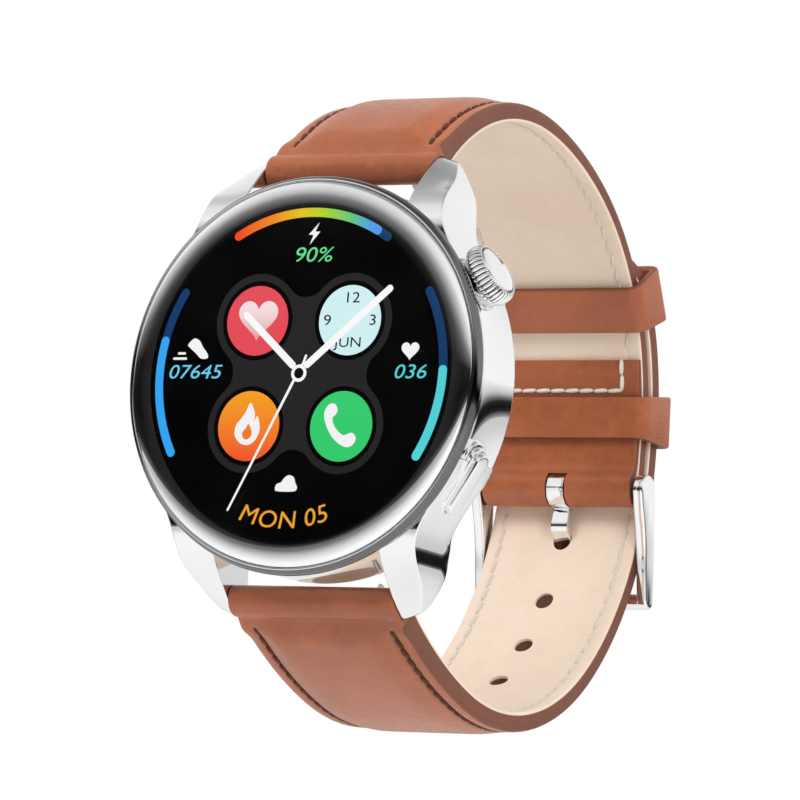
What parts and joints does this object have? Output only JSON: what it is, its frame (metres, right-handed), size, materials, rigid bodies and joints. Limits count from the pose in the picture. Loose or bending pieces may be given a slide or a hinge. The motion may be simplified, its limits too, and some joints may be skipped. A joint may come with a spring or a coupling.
{
  "type": "smartwatch",
  "caption": "Round smartwatch with a polished steel case, domed glass, fluted crown, side button and a padded tan leather strap buckled into a loop.",
  "frame": {"origin": "middle of the sensor window's flat face, the case's rearmost face, which lies on the wrist", "axes": "+X to 3 o'clock, the crown side; +Z to 12 o'clock; +Y out of the case back, towards the wrist, so the screen faces -Y"},
  "size_m": [0.0468, 0.0721, 0.0742],
  "materials": {
    "polished_steel": "mirror polished",
    "cover_glass": "clear, curved edge",
    "display": "black, lit",
    "black_seal": "matt",
    "orange_seal": "matt silicone",
    "black_plastic": "moulded",
    "back_plastic": "gloss black",
    "circuit_board": "solder mask",
    "tinned_steel": "tinned",
    "cell_foil": "foil wrap",
    "switch_plastic": "moulded",
    "brushed_steel": "turned",
    "brass": "turned",
    "gold_contact": "gold plated",
    "sensor_glass": "dark window",
    "tan_leather": "smooth, fine grain",
    "cream_leather": "smooth lining",
    "filler": "non-woven filler"
  },
  "bodies": {
    "watch": {"case_body": "polished_steel", "bezel_ring": "polished_steel", "cover_glass": "cover_glass", "glass_gasket": "black_seal", "display_panel": "display", "inner_frame": "black_plastic", "main_board": "circuit_board", "shield_cans": "tinned_steel", "battery": "cell_foil", "vibration_motor": "tinned_steel", "speaker": "black_plastic", "crown_tube": "brass", "crown_seal": "black_seal", "crown_switch": "switch_plastic", "button_seal": "black_seal", "button_switch": "switch_plastic", "case_back": "back_plastic", "back_gasket": "orange_seal", "sensor_window": "sensor_glass", "sensor_board": "circuit_board", "charge_pins": "gold_contact", "back_screws": "brushed_steel", "top_bar_tube": "brushed_steel", "bottom_bar_tube": "brushed_steel", "buckle_bar_tube": "brushed_steel", "short_leather": "tan_leather", "short_lining": "cream_leather", "short_pad": "filler", "long_leather": "tan_leather", "long_lining": "cream_leather", "long_pad": "filler", "fixed_keeper": "tan_leather"},
    "crown_push": {"crown_stem": "brushed_steel"},
    "crown": {"crown_head": "polished_steel"},
    "button": {"button_cap": "polished_steel", "button_stem": "brushed_steel", "button_clip": "brushed_steel"},
    "top_pin": {"top_bar_pin": "brushed_steel"},
    "bottom_pin": {"bottom_bar_pin": "brushed_steel"},
    "buckle_pin": {"buckle_bar_pin": "brushed_steel"},
    "buckle": {"buckle_frame": "polished_steel"},
    "tongue": {"buckle_tongue": "polished_steel"},
    "sliding_keeper": {"free_keeper": "tan_leather"}
  },
  "joints": [
    {"name": "crown_press", "type": "slide", "parent": "watch", "child": "crown_push", "axis": [-0.866, 0, -0.5], "range_m": [0, 0.0004], "stiffness_N_per_m": 1500, "springref_m": -0.0002},
    {"name": "crown_turn", "type": "hinge", "parent": "crown_push", "child": "crown", "pos_m": [0.022, -0.0063, 0.0127], "axis": [0.866, 0, 0.5], "continuous": true},
    {"name": "button_press", "type": "slide", "parent": "watch", "child": "button", "axis": [-0.8616, 0, 0.5075], "range_m": [0, 0.0004], "stiffness_N_per_m": 1500, "springref_m": -0.0002},
    {"name": "top_pin_slide", "type": "slide", "parent": "watch", "child": "top_pin", "axis": [-1, 0, 0], "range_m": [0, 0.0013], "stiffness_N_per_m": 900, "springref_m": -0.0008},
    {"name": "bottom_pin_slide", "type": "slide", "parent": "watch", "child": "bottom_pin", "axis": [-1, 0, 0], "range_m": [0, 0.0013], "stiffness_N_per_m": 900, "springref_m": -0.0008},
    {"name": "buckle_pin_slide", "type": "slide", "parent": "watch", "child": "buckle_pin", "axis": [-1, 0, 0], "range_m": [0, 0.0011], "stiffness_N_per_m": 900, "springref_m": -0.0008},
    {"name": "buckle_swing", "type": "hinge", "parent": "watch", "child": "buckle", "pos_m": [0, 0.05395, -0.0034], "axis": [1, 0, 0], "range_deg": [0, 4]},
    {"name": "tongue_lift", "type": "hinge", "parent": "buckle", "child": "tongue", "pos_m": [0, 0.05395, -0.0034], "axis": [1, 0, 0], "range_deg": [0, 4]},
    {"name": "keeper_slide", "type": "hinge", "parent": "watch", "child": "sliding_keeper", "pos_m": [0, 0.0231, 0.0033], "axis": [1, 0, 0], "range_deg": [-6, 16]}
  ]
}
